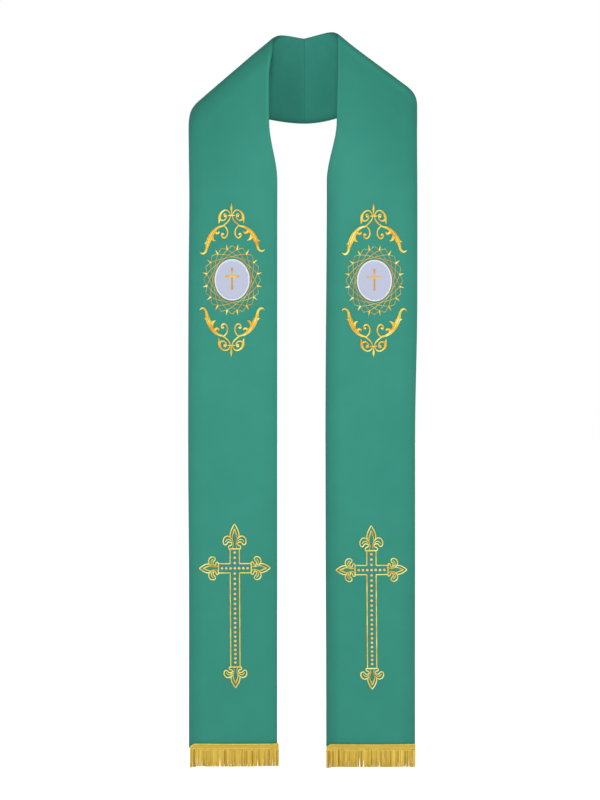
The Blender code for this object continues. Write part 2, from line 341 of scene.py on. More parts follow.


# x is measured outward from the middle on both sides; the ridge is the top line of a shoulder
# edge_shades, rim_shades and back_shades are painted shade on the cloth's colour, and neck_band is a lighter
# band painted at the top of the neck edge
SIDES = (
    Side(
        name="left",
        sign=-1,
        ridge_x=0.0574,
        ridge_z=0.0000,
        slope=math.radians(40.5),
        neck_turn=0.80,
        outer_turn=0.80,
        scoop=0.004,
        neck=(
            EdgeRow(-0.251, 0.0422), EdgeRow(-0.1455, 0.0565), EdgeRow(-0.065, 0.0570),
            EdgeRow(-0.010, 0.0518),
        ),
        outer=(
            EdgeRow(-0.950, 0.1922), EdgeRow(-0.710, 0.1935), EdgeRow(-0.300, 0.1928),
            EdgeRow(-0.100, 0.1960),
        ),
        ridge_sink=-0.0010,
        lean_depth=0.0120,
        lean_reach=0.032,
        edge_shades=(0.07, 0.16),
        rim_shades=(0.05, 0.26),
        neck_band=0.07,
        back_shades=(0.08, 0.14),
        fringe=(0.0400, 0.1898),
        fringe_top=-1.1995,
        medallion_x=0.1186,
        medallion_z=-0.4178,
        cross_x=0.1142,
        cross_z=-0.9044,
        wave=0.4,
    ),
    Side(
        name="right",
        sign=1,
        ridge_x=0.0605,
        ridge_z=0.0107,
        slope=math.radians(36.8),
        neck_turn=0.80,
        outer_turn=0.55,
        scoop=0.008,
        neck=(
            EdgeRow(-1.180, 0.0396), EdgeRow(-0.690, 0.0383), EdgeRow(-0.251, 0.0407),
            EdgeRow(-0.1455, 0.0580), EdgeRow(-0.030, 0.0607),
        ),
        outer=(
            EdgeRow(-0.690, 0.1907), EdgeRow(-0.450, 0.1945), EdgeRow(-0.200, 0.1956),
            EdgeRow(-0.100, 0.1971),
        ),
        ridge_sink=0.0020,
        lean_depth=-0.0040,
        lean_reach=0.018,
        edge_shades=(0.26, 0.14),
        rim_shades=(0.45, 0.05),
        neck_band=0.0,
        back_shades=(0.0, 0.0),
        fringe=(0.0400, 0.1908),
        fringe_top=-1.2007,
        medallion_x=0.1214,
        medallion_z=-0.4190,
        cross_x=0.1164,
        cross_z=-0.9073,
        wave=2.1,
    ),
)

# One quarter of the scrollwork round the medallion, right and above; each stroke is a satin-stitched line
SCROLL_STROKES = {
    "volute": stroke(
        (14, 1098, 9), (50, 1162, 12), (95, 1183, 14), (141, 1167, 17), (181, 1124, 23),
        (199, 1068, 29), (203, 1010, 23), (213, 948, 3),
    ),
    "volute curl": stroke(
        (196, 1040, 16), (172, 1013, 16), (140, 1006, 14), (107, 1022, 12), (85, 1060, 12),
        (88, 1101, 12), (113, 1116, 12), (134, 1098, 11),
    ),
    "stem": stroke((16, 1098, 9), (26, 1040, 12), (54, 993, 14), (91, 955, 15), (130, 924, 15)),
    "arm": stroke(
        (118, 920, 13), (165, 908, 16), (216, 892, 21), (268, 855, 28), (315, 800, 35), (352, 735, 41),
        (380, 668, 42), (402, 605, 35), (415, 550, 25), (425, 500, 21), (447, 462, 19), (480, 445, 17),
        (510, 453, 12), (534, 478, 3),
    ),
    "spur": stroke((400, 650, 16), (430, 628, 12), (456, 612, 3)),
    "curled lobe": stroke((290, 838, 22), (266, 802, 23), (236, 788, 19), (213, 800, 14), (210, 824, 7)),
    "pointed lobe": stroke((333, 768, 26), (323, 712, 26), (303, 674, 18), (262, 655, 3)),
    "inner curl": stroke(
        (130, 920, 12), (92, 886, 14), (68, 840, 14), (64, 785, 15), (82, 735, 15), (120, 710, 16),
        (155, 730, 15), (165, 768, 13), (147, 795, 10),
    ),
}
LEAVES = ("arm", "spur", "curled lobe", "pointed lobe")
SCROLL_EYES = stroke((111, 1079, 21), (139, 773, 21))
SPEAR = stroke((0, 1080, 8), (0, 1150, 12), (0, 1222, 24), (0, 1262, 13), (0, 1302, 2))
KNOT = stroke((-60, 1089, 9), (0, 1089, 13), (60, 1089, 9))

# Half of a fleur-de-lis: x runs from its collar to its tip, z across it
FLEUR_STROKES = {
    "collar end": stroke((6, 94, 10), (32, 104, 10), (57, 95, 10), (66, 68, 10), (90, 44, 9)),
    "side petal": stroke(
        (94, 40, 9), (118, 66, 10), (121, 108, 10), (80, 144, 10), (90, 181, 10), (148, 192, 10),
        (203, 168, 10), (224, 120, 10), (206, 76, 10), (172, 52, 9),
    ),
    "middle petal": stroke((205, 74, 10), (258, 74, 10), (318, 58, 10), (378, 30, 10), (430, 0, 8)),
    "inner spear": stroke(
        (16, 40, 6), (70, 24, 7), (120, 30, 8), (170, 41, 8), (225, 38, 9), (290, 18, 11), (350, 0, 8),
    ),
    "petal vein": stroke((134, 50, 7), (166, 90, 7), (160, 130, 7), (122, 156, 6)),
}

# Lines that part the leaves of an arm of the scrollwork
SCROLL_VEINS = (
    stroke(
        (240, 884, 3.5), (300, 838, 4.5), (352, 768, 4.5), (388, 690, 4.5), (410, 610, 4.5), (420, 545, 3),
    ),
    stroke((268, 838, 3.5), (310, 778, 4.5), (343, 708, 4.5), (372, 640, 4.5), (392, 580, 3)),
)

# The heading of the fringe, from its top: a twisted cord, a zigzag of two plain ones and two more twists
HEADING_CORDS = (
    Cord(0.0013, 0.0044, 0.0046, 0.00065, 0.00065, TWIST_PLY * 0.0013, 0.60, 0.34, True),
    Cord(0.0050, 0.0024, 0.0068, 0.00170, 0.00064, 0.00080, 0.70, 0.40, False),
    Cord(0.0084, 0.0010, 0.0042, 0.00055, 0.00055, TWIST_PLY * 0.0011, 0.66, 0.34, True),
    Cord(0.0108, 0.0002, 0.0044, 0.00060, 0.00060, TWIST_PLY * 0.0012, 0.74, 0.34, True),
)

# A plain cross with flared ends, on the disc
SMALL_CROSS = (
    stroke((0, -215, 26), (0, -180, 16), (0, 105, 16), (0, 140, 26)),
    stroke((-120, 0, 26), (-88, 0, 16), (88, 0, 16), (120, 0, 26)),
)


def eased(t):
    t = min(max(t, 0.0), 1.0)
    return t * t * (3.0 - 2.0 * t)


def smooth(values):
    """The same easing for an array."""
    t = np.clip(values, 0.0, 1.0)
    return t * t * (3.0 - 2.0 * t)


def between(a, b, t):
    return a + (b - a) * t


def bell(distance):
    return math.exp(-(distance**2))


def edge_x(rows, z):
    """How far out an edge is at a height, eased from one row of its table to the next."""
    if z <= rows[0].z:
        return rows[0].x
    for low, high in zip(rows, rows[1:]):
        if z <= high.z:
            return between(low.x, high.x, eased((z - low.z) / (high.z - low.z)))
    return rows[-1].x


def strip_x(side, z, across):
    return between(edge_x(side.neck, z), edge_x(side.outer, z), across)


def roll_axis(side):
    """The middle of the roll, below the ridge line and square to it."""
    return (
        side.ridge_x - ROLL_RADIUS * math.sin(side.slope),
        side.ridge_z - ROLL_RADIUS * math.cos(side.slope),
    )


def to_ridge(side, x, z):
    """(run down the ridge, rise square to it) of a point seen from the front."""
    axis_x, axis_z = roll_axis(side)
    dx, dz = x - axis_x, z - axis_z
    run = dx * math.cos(side.slope) - dz * math.sin(side.slope)
    rise = dx * math.sin(side.slope) + dz * math.cos(side.slope)
    return run, rise


def from_ridge(side, run, rise, y):
    axis_x, axis_z = roll_axis(side)
    x = axis_x + run * math.cos(side.slope) + rise * math.sin(side.slope)
    z = axis_z - run * math.sin(side.slope) + rise * math.cos(side.slope)
    return Vector((x, y, z))


@functools.lru_cache(maxsize=None)
def front_top(side, across):
    """Where a column of the front reaches the roll: its height and its run along the ridge."""
    axis_x, axis_z = roll_axis(side)
    rise = ROLL_RADIUS * math.sin(FRONT_SLANT)
    z = side.ridge_z
    for _ in range(TOP_TRIES):
        x = strip_x(side, z, across)
        z = axis_z + (rise - (x - axis_x) * math.sin(side.slope)) / math.cos(side.slope)
    return z, to_ridge(side, strip_x(side, z, across), z)[0]


def front_point(side, x, z):
    """A point of the face cloth in front: it leaves the roll at a slant and comes round to plumb."""
    neck, outer = edge_x(side.neck, z), edge_x(side.outer, z)
    across = (x - neck) / (outer - neck)
    drop = max(ROLL_RADIUS * math.sin(FRONT_SLANT) - to_ridge(side, x, z)[1], 0.0)
    slanting = min(drop, SLANT_FADE)
    lean = math.tan(FRONT_SLANT) * (slanting - slanting**2 / (2.0 * SLANT_FADE))
    hang = eased(drop / BOW_FADE)
    bow = BOW_DEPTH * hang * (1.0 - (2.0 * across - 1.0) ** 2)
    wave = WAVE_DEPTH * hang * math.sin(2.0 * math.pi * z / WAVE_LENGTH + side.wave + across)
    return Vector((x, -(ROLL_RADIUS * math.cos(FRONT_SLANT) + lean + bow + wave), z))


def turn_rate(side, across):
    """How far the strip slides up the ridge for each metre that it crosses it."""
    return between(side.neck_turn, side.outer_turn, across)


def plain_fold_point(side, across, turn):
    """A point of the roll, from turn 0 in front to turn 1 behind."""
    arc = turn * (math.pi - FRONT_SLANT - BACK_SLANT)
    angle = FRONT_SLANT + arc
    scoop = (1.0 - across) * side.scoop * eased(2.0 * turn)
    run = front_top(side, across)[1] + scoop - turn_rate(side, across) * ROLL_RADIUS * arc
    return from_ridge(side, run, ROLL_RADIUS * math.sin(angle), -ROLL_RADIUS * math.cos(angle))


def plain_back_point(side, across, share):
    """A point behind, on the strip that runs from the roll to the middle, its crease and hem eased."""
    start = plain_fold_point(side, across, 1.0)
    rate = turn_rate(side, across)
    inward = rate * math.cos(side.slope) + math.cos(BACK_SLANT) * math.sin(side.slope)
    downward = math.cos(BACK_SLANT) * math.cos(side.slope) - rate * math.sin(side.slope)
    seam_x = side.sign * SEAM_X
    length = share * (start.x - seam_x + SEAM_OVERLAP) / inward
    run, rise = to_ridge(side, start.x, start.z)
    point = from_ridge(
        side,
        run - rate * length,
        rise - length * math.cos(BACK_SLANT),
        start.y + length * math.sin(BACK_SLANT),
    )
    crease = max(CREASE_REACH + seam_x - point.x, 0.0) ** 2 / (2.0 * CREASE_REACH)
    point.y -= crease * math.tan(BACK_SLANT) * math.sin(side.slope)
    rounding = max(HEM_ROUND_REACH + seam_x - point.x, 0.0) ** 2 / (2.0 * HEM_ROUND_REACH)
    raised = across**2 * rounding * downward / inward
    point.z += raised + BACK_HEM_LIFT * across**4 * eased(4.0 * share)
    point.y -= raised * math.tan(BACK_SLANT) * math.cos(side.slope)
    return point


@functools.lru_cache(maxsize=None)
def seam_shift(side, across):
    """From a half's own end to the seam line that both halves share."""
    left_end, right_end = (plain_back_point(each, across, 1.0) for each in SIDES)
    shift = (left_end + right_end) / 2.0 - plain_back_point(side, across, 1.0)
    return Vector((0.0, shift.y, shift.z))


def fold_point(side, across, turn):
    return plain_fold_point(side, across, turn) + eased(FOLD_PULL * turn) * seam_shift(side, across)


def back_point(side, across, share):
    pull = between(FOLD_PULL, 1.0, share)
    return plain_back_point(side, across, share) + eased(pull) * seam_shift(side, across)


def corner_sink(side, point):
    """How far the cloth sinks along a shoulder's ridge and where its outer end rounds off."""
    reach = min(max((point.x - edge_x(side.outer, point.z)) / CORNER_REACH + 1.0, 0.0), 1.0)
    depth = side.ridge_z - (point.x - side.ridge_x) * math.tan(side.slope) - point.z
    ridge = side.ridge_sink * eased((point.x - side.ridge_x) / RIDGE_SINK_REACH)
    corner = CORNER_DROP * (1.0 - math.sqrt(1.0 - reach**2))
    return (ridge + corner) * (1.0 - eased(depth / CORNER_FADE))


def shoulder_lean(side, point):
    """How far the cloth leans back as it nears the ridge of a shoulder."""
    depth = ROLL_RADIUS - to_ridge(side, point.x, point.z)[1]
    reach = side.lean_reach if point.y < 0.0 else LEAN_REACH_BEHIND
    return side.lean_depth * max(1.0 - depth / reach, 0.0) ** 2


def edge_curl(edge_distance):
    return CURL_DEPTH * (1.0 - min(edge_distance / CURL_REACH, 1.0)) ** 2


def cloth_point(side, row, across):
    """The face cloth's outside: row 0 is the hem, the last row the seam, and across 0 the neck edge."""
    if row <= FRONT_ROWS:
        z = between(HEM_Z, CHEST_Z, row / FRONT_ROWS)
        return front_point(side, strip_x(side, z, across), z)
    row -= FRONT_ROWS
    if row <= SHOULDER_ROWS:
        z = between(CHEST_Z, front_top(side, across)[0], row / SHOULDER_ROWS)
        return front_point(side, strip_x(side, z, across), z)
    row -= SHOULDER_ROWS
    if row <= FOLD_ROWS:
        return fold_point(side, across, row / FOLD_ROWS)
    return back_point(side, across, (row - FOLD_ROWS) / BACK_ROWS)


def outward_directions(side, points, rows, acrosses):
    up = np.gradient(points, rows, axis=0)
    out = side.sign * np.gradient(points, acrosses, axis=1)
    outward = np.cross(out, up)
    return outward / np.linalg.norm(outward, axis=2, keepdims=True)


def cloth_grid(side, rows, acrosses):
    """The face cloth's outer points and its directions away from the wearer, as [row][column][xyz]."""
    lines = []
    for row in rows.tolist():
        line = [cloth_point(side, row, across) for across in acrosses.tolist()]
        for point in line:
            sink = corner_sink(side, point)
            point.y += shoulder_lean(side, point)
            point.z -= sink
        lines.append(line)
    points = np.array(lines)
    points[:, :, 0] *= side.sign
    first_of_fold = FRONT_ROWS + SHOULDER_ROWS
    turned = smooth((rows[:, np.newaxis] - first_of_fold) / FOLD_ROWS + acrosses)
    edges = STRIP_WIDTH * np.minimum(acrosses, 1.0 - acrosses)
    curl = (1.0 - turned) * np.array([edge_curl(distance) for distance in edges.tolist()])
    points -= outward_directions(side, points, rows, acrosses) * curl[:, :, np.newaxis]
    return points, outward_directions(side, points, rows, acrosses)


def row_steps(steps, hem_distances, first_row):
    """Rows from the hem to the seam, so many in each stretch, and close together at both ends."""
    ends = np.cumsum((0, FRONT_ROWS, SHOULDER_ROWS, FOLD_ROWS, BACK_ROWS))
    rows = [np.linspace(a, b, count, endpoint=False) for a, b, count in zip(ends, ends[1:], steps)]
    inside = np.concatenate(rows)
    hem = first_row + np.array(hem_distances) / (CHEST_Z - HEM_Z) * FRONT_ROWS
    seam = ends[-1] - np.array(SEAM_DISTANCES)[::-1] / BACK_LENGTH * BACK_ROWS
    inside = inside[(inside > hem[-1] + HEM_CLEAR) & (inside < seam[0] - SEAM_CLEAR)]
    return np.concatenate([hem, inside, seam])


def column_steps(rim, column, inset):
    """Shares across the strip, close together at both edges."""
    width = STRIP_WIDTH - 2.0 * inset
    inner = np.linspace(rim[-1], width - rim[-1], round((width - 2.0 * rim[-1]) / column) + 1)
    distances = np.concatenate([rim[:-1], inner, width - np.array(rim[:-1])[::-1]])
    return (inset + distances) / STRIP_WIDTH


def allowance_rise(edge_distance):
    """The turned-in seam allowance makes a low band along each edge."""
    return ALLOWANCE_RISE * (1.0 - eased((edge_distance - ALLOWANCE_WIDTH) / ALLOWANCE_FADE))


def hem_line_depth(z):
    """Two pressed lines run along above the fringe."""
    return HEM_LINE_DEPTH * sum(bell((z - HEM_Z - height) / HEM_LINE_WIDTH) for height in HEM_LINES)


def face_relief(point, edge_distance):
    """How far the face cloth stands off its plain form: soft ripples, crumples, allowance and hem lines."""
    ripple_place = Vector((point[0] / RIPPLE_WIDTH, point[1] / RIPPLE_WIDTH, point[2] / RIPPLE_LENGTH))
    ripple = RIPPLE_HEIGHT * noise.noise(ripple_place)
    crumple = CRUMPLE_HEIGHT * noise.noise(Vector(point) / CRUMPLE_SIZE)
    soft = (ripple + crumple) * eased(edge_distance / CALM_EDGE)
    return soft + allowance_rise(edge_distance) - hem_line_depth(point[2])


def lining_relief(point, edge_distance):
    """The same for the lining's inside, with its centre-back seam, which shows most at the top."""
    ripple = LINING_RIPPLE * noise.noise(Vector(point) / LINING_RIPPLE_SIZE)
    crumple = CRUMPLE_HEIGHT * noise.noise(Vector(point) / CRUMPLE_SIZE)
    from_seam = abs(point[0] - SEAM_X)
    top_share = 1.0 - SEAM_LINE_LOSS * eased(-point[2] / SEAM_LINE_FADE)
    groove = SEAM_GROOVE * bell(from_seam / SEAM_GROOVE_WIDTH)
    pressing = SEAM_PRESSING * (1.0 - eased((from_seam - SEAM_PRESSING_WIDTH) / SEAM_PRESSING_FADE))
    soft = (ripple + crumple) * eased(edge_distance / CALM_EDGE)
    return soft + (pressing - groove) * top_share * (1.0 if point[1] > 0.0 else 0.0)


def face_shades(side, points, acrosses):
    """Painted shade on the face cloth, as the share of its colour that it keeps: darker where its edges and
    rims turn away, in a contact shadow at the top of the neck edge, along the pressed lines and toward the
    bottom; a little lighter in a band at the top of the neck edge.
    """
    heights = points[:, :, 2]
    from_neck = np.broadcast_to(STRIP_WIDTH * acrosses, heights.shape)
    from_outer = STRIP_WIDTH - from_neck
    neck_share = 1.0 - smooth((heights - NECK_SHADE_Z) / NECK_SHADE_FADE)
    contact = smooth((heights - CONTACT_Z) / CONTACT_FADE)
    neck_rim = side.rim_shades[0] + (CONTACT_SHADE - side.rim_shades[0]) * contact
    neck = side.edge_shades[0] * neck_share * np.maximum(1.0 - from_neck / EDGE_SHADE_REACH, 0.0)
    outer = side.edge_shades[1] * np.maximum(1.0 - from_outer / EDGE_SHADE_REACH, 0.0)
    neck_rim = neck_rim * np.exp(-((from_neck / RIM_SHADE_REACH) ** 2))
    outer_rim = side.rim_shades[1] * np.exp(-((from_outer / RIM_SHADE_REACH) ** 2))
    from_line = (np.minimum(from_neck, from_outer) - ALLOWANCE_WIDTH) / PRESS_LINE_WIDTH
    line = PRESS_LINE_SHADE * np.exp(-(from_line**2))
    past_allowance = smooth((from_neck - ALLOWANCE_WIDTH) / ALLOWANCE_FADE)
    band = side.neck_band * (1.0 - neck_share) * (1.0 - past_allowance)
    low = LOW_SHADE * smooth((LOW_SHADE_TOP - heights) / (LOW_SHADE_TOP - HEM_Z))
    edges = (1.0 - neck) * (1.0 - outer) * (1.0 - neck_rim) * (1.0 - outer_rim)
    return edges * (1.0 - low) * (1.0 - line) * (1.0 + band)


def lining_shades(side, points, acrosses):
    """Painted shade on the lining: behind the neck it darkens toward its hem, and its left half there is
    darker as a whole, more so lower down and less next to the seam.
    """
    heights = points[:, :, 2]
    behind = smooth(points[:, :, 1] / BEHIND_FADE)
    from_hem = np.broadcast_to(STRIP_WIDTH * (1.0 - acrosses), heights.shape)
    hem = HEM_SHADE * behind * np.exp(-np.maximum(from_hem - LINING_INSET, 0.0) / HEM_SHADE_REACH)
    top, low = side.back_shades
    from_seam = np.abs(points[:, :, 0] - SEAM_X)
    beside_seam = SEAM_SHADE + (1.0 - SEAM_SHADE) * smooth(from_seam / SEAM_SHADE_REACH)
    half = behind * beside_seam * (top + (low - top) * smooth(-heights / BACK_SHADE_FADE))
    return (1.0 - hem) * (1.0 - half)


def rounding(distance, wall):
    """How far a wall's surface draws in at a distance from its rim, so that the rim is half round."""
    radius = wall / 2.0
    return radius - np.sqrt(np.maximum(radius**2 - np.maximum(radius - distance, 0.0) ** 2, 0.0))


def lay_sheet(side, sheet):
    """A closed, round-rimmed sheet along the strip: its points, faces, map, shades and flat size."""
    rows = row_steps(sheet.steps, sheet.hem, sheet.first_row)
    acrosses = column_steps(sheet.rim, sheet.column, sheet.inset)
    points, outward = cloth_grid(side, rows, acrosses)
    middle = points[:, len(acrosses) // 2]
    along = np.concatenate([[0.0], np.cumsum(np.linalg.norm(np.diff(middle, axis=0), axis=1))])
    edge = STRIP_WIDTH * np.minimum(acrosses, 1.0 - acrosses) - sheet.inset
    edge_distance = np.broadcast_to(edge, points.shape[:2])
    end_distance = np.minimum(along, along[-1] - along)[:, np.newaxis]
    rim = rounding(np.minimum(edge_distance, end_distance), sheet.wall)[:, :, np.newaxis]
    raised = np.array([[sheet.relief(p, d) for p, d in zip(line, edge)] for line in points])
    raised = raised[:, :, np.newaxis]
    outer = points + outward * (-sheet.depth - rim + (0.0 if sheet.relief_inside else raised))
    inner = points + outward * (-sheet.depth - sheet.wall + rim - (raised if sheet.relief_inside else 0.0))
    count_rows, count_columns = points.shape[:2]
    outer_index = np.arange(count_rows * count_columns).reshape(count_rows, count_columns)
    inner_index = outer_index.copy()
    inside = (count_rows - 2) * (count_columns - 2)
    inner_index[1:-1, 1:-1] = outer_index.size + np.arange(inside).reshape(count_rows - 2, -1)
    middle_of_rim = (outer + inner) / 2.0
    on_rim = inner_index == outer_index
    outer[on_rim] = middle_of_rim[on_rim]
    all_points = np.concatenate([outer.reshape(-1, 3), inner[1:-1, 1:-1].reshape(-1, 3)])
    faces = np.concatenate([grid_faces(outer_index, side.sign > 0), grid_faces(inner_index, side.sign < 0)])
    flat_map = np.stack(np.meshgrid(acrosses * STRIP_WIDTH, along), axis=2)
    all_map = np.concatenate([flat_map.reshape(-1, 2), flat_map[1:-1, 1:-1].reshape(-1, 2)])
    shade = sheet.shades(side, points, acrosses)
    all_shades = np.concatenate([shade.ravel(), shade[1:-1, 1:-1].ravel()])
    up = np.gradient(points, axis=0)
    up = (up[:, 1:] + up[:, :-1]) / np.linalg.norm(up[:, 1:] + up[:, :-1], axis=2, keepdims=True)
    width = np.linalg.norm(np.cross(np.diff(points, axis=1), up), axis=2).sum(axis=1).max()
    length = np.linalg.norm(np.diff(points, axis=0), axis=2).sum(axis=0).max()
    return all_points, faces, all_map, all_shades, (float(width), float(length))


def grid_faces(index, turned):
    corners = (index[:-1, :-1], index[:-1, 1:], index[1:, 1:], index[1:, :-1])
    faces = np.stack(corners, axis=2).reshape(-1, 4)
    return faces if turned else faces[:, ::-1]


def new_build():
    return Build([], [], [], [])


def add_piece(name, points, faces, flat_map, tones, finish):
    """A smooth mesh object with its map in metres and a tone at each point, riding on the stole."""
    mesh = bpy.data.meshes.new(name)
    mesh.from_pydata([tuple(p) for p in points], [], [tuple(int(i) for i in face) for face in faces])
    mesh.shade_smooth()
    corner_points = np.empty(len(mesh.loops), np.int32)
    mesh.loops.foreach_get("vertex_index", corner_points)
    layer = mesh.uv_layers.new(name="thread_map")
    layer.data.foreach_set("uv", np.array(flat_map, np.float32)[corner_points].ravel())
    tone = mesh.attributes.new("tone", "FLOAT", "POINT")
    tone.data.foreach_set("value", np.array(tones, np.float32))
    mesh.materials.append(finish)
    piece = bpy.data.objects.new(name, mesh)
    bpy.context.scene.collection.objects.link(piece)
    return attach(piece, "root")


def add_rings(build, rings, along, around, tones, closed=False):
    """Joins rings of points into a tube with flat ends, or into a loop."""
    first = len(build.points)
    size = len(rings[0])
    for ring, distance, tone in zip(rings, along, tones):
        build.points.extend(ring)
        build.map.extend((distance, share) for share in around)
        build.tones.extend([tone] * size)
    count = len(rings)
    for row in range(count if closed else count - 1):
        low = first + row * size
        high = first + (row + 1) % count * size
        for k in range(size):
            after = (k + 1) % size
            build.faces.append((low + k, low + after, high + after, high + k))
    if not closed:
        build.faces.append(tuple(range(first + size - 1, first - 1, -1)))
        build.faces.append(tuple(range(first + (count - 1) * size, first + count * size)))


def front_place(side, x, z):
    """The face of a front at a point seen from the front, with its right, up and outward directions."""

    def plain(x, z):
        point = front_point(side, side.sign * x, z)
        return Vector((side.sign * point.x, point.y, point.z))

    here = plain(x, z)
    right = (plain(x + PLACE_STEP, z) - here).normalized()
    up = (plain(x, z + PLACE_STEP) - here).normalized()
    out = right.cross(up).normalized()
    outward_x = side.sign * x
    edge_distance = min(outward_x - edge_x(side.neck, z), edge_x(side.outer, z) - outward_x)
    edge_distance = max(edge_distance, 0.0)
    rise = face_relief(here, edge_distance) - edge_curl(edge_distance)
    return Place(here + out * rise, right, up, out)


def smooth_path(stitches, step):
    """Stitches spaced evenly along a smooth curve through the given ones."""
    values = np.array(stitches, float)
    padded = np.concatenate([2.0 * values[:1] - values[1:2], values, 2.0 * values[-1:] - values[-2:-1]])
    t = np.linspace(0.0, 1.0, CURVE_STEPS, endpoint=False)[:, np.newaxis]
    pieces = []
    for a, b, c, d in zip(padded, padded[1:], padded[2:], padded[3:]):
        bend, twist = 2 * a - 5 * b + 4 * c - d, 3 * b - a - 3 * c + d
        pieces.append(0.5 * (2 * b + (c - a) * t + bend * t**2 + twist * t**3))
    fine = np.concatenate([*pieces, values[-1:]])
    lengths = np.concatenate([[0.0], np.cumsum(np.linalg.norm(np.diff(fine[:, :2], axis=0), axis=1))])
    at = np.linspace(0.0, lengths[-1], max(3, round(lengths[-1] / step) + 1))
    return [Stitch(*(np.interp(at_one, lengths, fine[:, k]) for k in range(3))) for at_one in at]


def moved(stitches, x, z, turn=0.0, flip_x=1.0, flip_z=1.0, stretch=1.0, start=0.0, weight=1.0):
    """Stitches stretched along x from a start, flipped, turned about the origin and carried to a place."""
    c, s = math.cos(turn), math.sin(turn)
    made = []
    for stitch in stitches:
        along, across = flip_x * (start + stitch.x * stretch), flip_z * stitch.z
        place = (x + c * along - s * across, z + s * along + c * across)
        made.append(Stitch(*place, stitch.half_width * weight))
    return made


def lay_stitches(build, side, path, rise, draw, lift=0.0, closed=False, tone=0.5, step=STITCH_STEP):
    """A domed band of satin stitch over the panel, along a path of evenly spaced stitches."""
    rings, tones = [], []
    count = len(path)
    per_stitch = max(1, round(STITCH_PITCH / step))
    uneven = [draw.uniform(-1.0, 1.0) for _ in range(count // per_stitch + 2)]
    for k, stitch in enumerate(path):
        before = path[(k - 1) % count if closed else max(k - 1, 0)]
        after = path[(k + 1) % count if closed else min(k + 1, count - 1)]
        run = math.hypot(after.x - before.x, after.z - before.z)
        along_x, along_z = (after.x - before.x) / run, (after.z - before.z) / run
        place = front_place(side, stitch.x, stitch.z)
        across = place.up * along_x - place.right * along_z
        ridge = 1.0 + STITCH_RIDGE * math.cos(2.0 * math.pi * k / per_stitch)
        half = stitch.half_width * (1.0 + STITCH_UNEVEN * uneven[k // per_stitch])
        section = [(s, lift + rise * h * ridge) for s, h in STITCH_ACROSS]
        section += [(s, lift - STITCH_SINK) for s in (STITCH_UNDER, -STITCH_UNDER)]
        rings.append([place.point + across * half * s + place.out * height for s, height in section])
        # Painted sheen: the stitch's tone is lighter or darker by the way it runs, in place of light on the
        # thread
        painted_sheen = PAINTED_SHEEN * math.sin(2.0 * math.atan2(along_z, along_x) + PAINTED_SHEEN_TURN)
        patch = TONE_PATCH * noise.noise(Vector((stitch.x, stitch.z, 0.0)) / TONE_PATCH_SIZE)
        tones.append(tone + painted_sheen + patch + TONE_UNEVEN * uneven[k // per_stitch])
    along = [k * step for k in range(count)]
    around = [s * STITCH_MAP_STEP for s in [*(s for s, _ in STITCH_ACROSS), 1.0, -1.0]]
    add_rings(build, rings, along, around, tones, closed)


def lay_stroke(build, side, stitches, rise, draw, **settings):
    lay_stitches(build, side, smooth_path(stitches, STITCH_STEP), rise, draw, **settings)


def lay_dot(build, side, x, z, radius, rise, draw, **settings):
    """A round satin-stitched dot."""
    steps = max(6, round(2.0 * radius / STITCH_STEP))
    path = []
    for k in range(steps + 1):
        t = -DOT_END + 2.0 * DOT_END * k / steps
        path.append(Stitch(x + radius * t, z, radius * math.sqrt(1.0 - t * t)))
    lay_stitches(build, side, path, rise, draw, **settings)


def finish_build(name, build, finish, replaces=()):
    piece = add_piece(name, build.points, build.faces, build.map, build.tones, finish)
    for node in replaces:
        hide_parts(node)
    return piece


def lowered(stitches):
    """Below the medallion the scrollwork stands a little further out than above, but for its tip."""

    def drop(z):
        return LOWER_DROP * (1.0 - eased((z - LOWER_DROP_ENDS) / LOWER_DROP_FADE))

    return [stitch._replace(z=stitch.z + drop(stitch.z)) for stitch in stitches]


def drawn_out(stitches, reach, rise):
    """The ends of the scrollwork's arms on the viewer's right reach a little further."""
    made = []
    for stitch in stitches:
        share = eased((stitch.x - ARM_END_START) / ARM_END_FADE)
        made.append(stitch._replace(x=stitch.x + reach * share, z=stitch.z + rise * share))
    return made


def make_scrolls(side, finish):
    """Scrollwork above and below the medallion, each half all but mirrored."""
    draw = random.Random(SEEDS["scrolls"])
    build = new_build()
    centre = (side.sign * side.medallion_x + SCROLL_SHIFT_X, side.medallion_z)
    for flip_z, fit in ((1.0, list), (-1.0, lowered)):
        for flip_x in (1.0, -1.0):
            reach = RIGHT_REACH * max(flip_x, 0.0)
            rise = RIGHT_RAISE * max(flip_x, 0.0) * max(flip_z, 0.0)
            turned = {"flip_x": flip_x, "flip_z": flip_z}
            for name, line in SCROLL_STROKES.items():
                weight = LEAF_WEIGHT if name in LEAVES else SCROLL_WEIGHT
                path = moved(drawn_out(fit(line), reach, rise), *centre, weight=weight, **turned)
                height = between(*SCROLL_RISE, max(stitch.half_width for stitch in line) / WIDEST_LEAF)
                lay_stroke(build, side, path, height, draw, tone=TONES["scroll"])
            for vein in SCROLL_VEINS:
                path = moved(drawn_out(fit(vein), reach, rise), *centre, **turned)
                lay_stroke(build, side, path, VEIN_RISE, draw, lift=VEIN_LIFT, tone=TONES["vein"])
            for eye in fit(SCROLL_EYES):
                (spot,) = moved((eye,), *centre, **turned)
                radius = eye.half_width * SCROLL_WEIGHT
                lay_dot(build, side, spot.x, spot.z, radius, EYE_RISE, draw, tone=TONES["eye"])
        for line in (SPEAR, KNOT):
            path = moved(fit(line), *centre, flip_z=flip_z, weight=SCROLL_WEIGHT)
            lay_stroke(build, side, path, SPEAR_RISE, draw, tone=TONES["scroll"])
    return finish_build("scrollwork_" + side.name, build, finish)


def medallion_oval(side, half_width, half_height, angle):
    """A place on an oval round the middle of the medallion."""
    x = side.sign * side.medallion_x + half_width * math.cos(angle)
    return x, side.medallion_z + half_height * math.sin(angle)


def thorn_oval(side, reach, step):
    """A place at a share of the thorn ring's size, a number of thorns round from its top."""
    angle = math.pi / 2.0 + 2.0 * math.pi / THORN_COUNT * step
    return medallion_oval(side, THORN_HALF_WIDTH * reach, THORN_HALF_HEIGHT * reach, angle)


